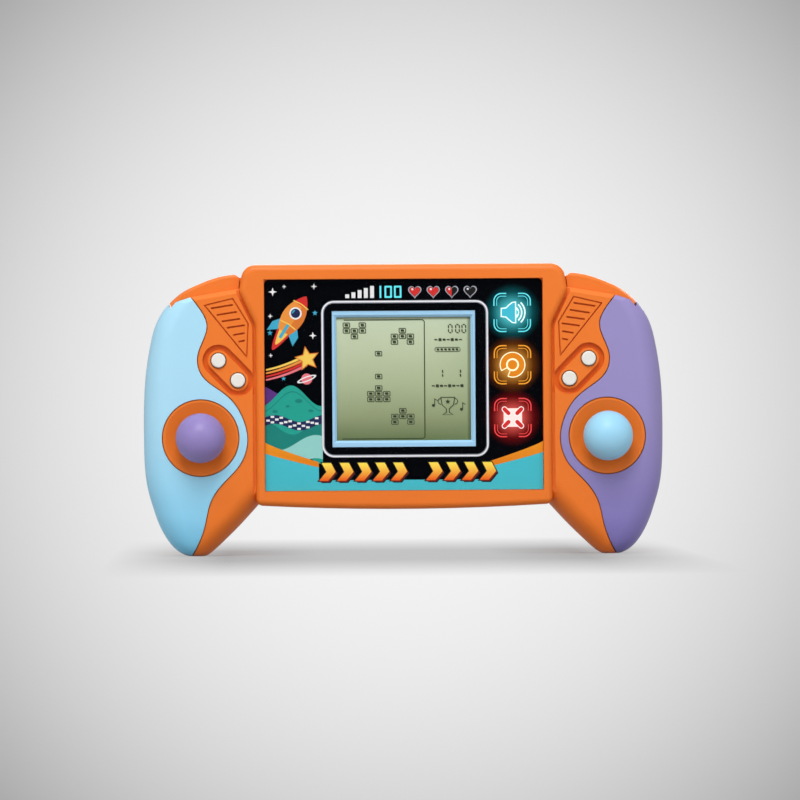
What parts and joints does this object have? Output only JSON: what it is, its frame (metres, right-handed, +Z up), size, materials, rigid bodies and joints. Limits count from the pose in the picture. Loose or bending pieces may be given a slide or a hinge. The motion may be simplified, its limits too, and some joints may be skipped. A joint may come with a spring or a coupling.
{
  "type": "handheld game console",
  "caption": "Handheld game console with a display between two grips, a thumbstick and push buttons on each grip, shoulder buttons, and a battery door at the back.",
  "frame": {"origin": "centre of the bounding box in plan, at the height of the two grip tips it stands on", "axes": "+X to the right as the player sees it, +Z up, and the screen faces -Y"},
  "size_m": [0.1804, 0.0396, 0.1008],
  "materials": {
    "orange_shell": "satin moulded plastic",
    "purple_panel": "satin moulded plastic",
    "blue_panel": "satin moulded plastic",
    "purple_cap": "satin moulded plastic",
    "blue_cap": "satin moulded plastic",
    "white_button": "gloss",
    "clear_sheet": "clear gloss sheet",
    "black_print": "printed film",
    "bezel_blue": "satin",
    "display_glass": "gloss",
    "display_backing": "matte",
    "grey_rubber": "matte",
    "board": "matte",
    "chip_resin": "matte",
    "black_plastic": "matte",
    "white_plastic": "matte",
    "steel": "plain",
    "cell_jacket": "gloss"
  },
  "bodies": {
    "casing": {"front_shell": "orange_shell", "back_shell": "orange_shell", "right_grip_panel": "purple_panel", "left_grip_panel": "blue_panel", "screen_sheet": "clear_sheet", "printed_panel": "black_print", "lcd_bezel": "bezel_blue", "lcd_glass": "display_glass", "lcd_backing": "display_backing", "zebra_strip": "grey_rubber", "main_board": "board", "chip_cover": "chip_resin", "right_grip_board": "board", "left_grip_board": "board", "right_key_mat": "grey_rubber", "left_key_mat": "grey_rubber", "right_stick_base": "black_plastic", "left_stick_base": "black_plastic", "right_shoulder_pin": "steel", "left_shoulder_pin": "steel", "right_shoulder_switch": "black_plastic", "left_shoulder_switch": "black_plastic", "speaker": "black_plastic", "batteries": "cell_jacket", "battery_contacts": "steel", "battery_springs": "steel", "case_screws": "steel", "board_screws": "steel"},
    "right_gimbal": {"right_gimbal_ring": "white_plastic"},
    "right_stick": {"right_stick_stem": "black_plastic", "right_stick_cap": "blue_cap"},
    "right_upper_button": {"right_upper_button": "white_button"},
    "right_lower_button": {"right_lower_button": "white_button"},
    "right_shoulder_button": {"right_shoulder_button": "orange_shell"},
    "left_gimbal": {"left_gimbal_ring": "white_plastic"},
    "left_stick": {"left_stick_stem": "black_plastic", "left_stick_cap": "purple_cap"},
    "left_upper_button": {"left_upper_button": "white_button"},
    "left_lower_button": {"left_lower_button": "white_button"},
    "left_shoulder_button": {"left_shoulder_button": "orange_shell"},
    "battery_door": {"battery_door": "orange_shell"}
  },
  "joints": [
    {"name": "right_stick_up_down", "type": "hinge", "parent": "casing", "child": "right_gimbal", "pos_m": [0.0704, 0.00095, 0.04099], "axis": [1, 0, 0], "range_deg": [-12, 12], "stiffness_Nm_per_rad": 0.08},
    {"name": "right_stick_left_right", "type": "hinge", "parent": "right_gimbal", "child": "right_stick", "pos_m": [0.0704, 0.00095, 0.04099], "axis": [0, 0, 1], "range_deg": [-12, 12], "stiffness_Nm_per_rad": 0.08},
    {"name": "right_upper_button_press", "type": "slide", "parent": "casing", "child": "right_upper_button", "axis": [0, 1, 0], "range_m": [0, 0.0012], "stiffness_N_per_m": 400, "springref_m": -0.0003},
    {"name": "right_lower_button_press", "type": "slide", "parent": "casing", "child": "right_lower_button", "axis": [0, 1, 0], "range_m": [0, 0.0012], "stiffness_N_per_m": 400, "springref_m": -0.0003},
    {"name": "right_shoulder_button_press", "type": "hinge", "parent": "casing", "child": "right_shoulder_button", "pos_m": [0.0602, 0, 0.0903], "axis": [0, 1, 0], "range_deg": [0, 4], "stiffness_Nm_per_rad": 0.05, "springref_deg": -5.73},
    {"name": "left_stick_up_down", "type": "hinge", "parent": "casing", "child": "left_gimbal", "pos_m": [-0.0704, 0.00095, 0.04099], "axis": [1, 0, 0], "range_deg": [-12, 12], "stiffness_Nm_per_rad": 0.08},
    {"name": "left_stick_left_right", "type": "hinge", "parent": "left_gimbal", "child": "left_stick", "pos_m": [-0.0704, 0.00095, 0.04099], "axis": [0, 0, 1], "range_deg": [-12, 12], "stiffness_Nm_per_rad": 0.08},
    {"name": "left_upper_button_press", "type": "slide", "parent": "casing", "child": "left_upper_button", "axis": [0, 1, 0], "range_m": [0, 0.0012], "stiffness_N_per_m": 400, "springref_m": -0.0003},
    {"name": "left_lower_button_press", "type": "slide", "parent": "casing", "child": "left_lower_button", "axis": [0, 1, 0], "range_m": [0, 0.0012], "stiffness_N_per_m": 400, "springref_m": -0.0003},
    {"name": "left_shoulder_button_press", "type": "hinge", "parent": "casing", "child": "left_shoulder_button", "pos_m": [-0.0602, 0, 0.0903], "axis": [0, -1, 0], "range_deg": [0, 4], "stiffness_Nm_per_rad": 0.05, "springref_deg": -5.73},
    {"name": "battery_door_swing", "type": "hinge", "parent": "casing", "child": "battery_door", "pos_m": [0, 0.01825, 0.08145], "axis": [1, 0, 0], "range_deg": [0, 60]}
  ]
}
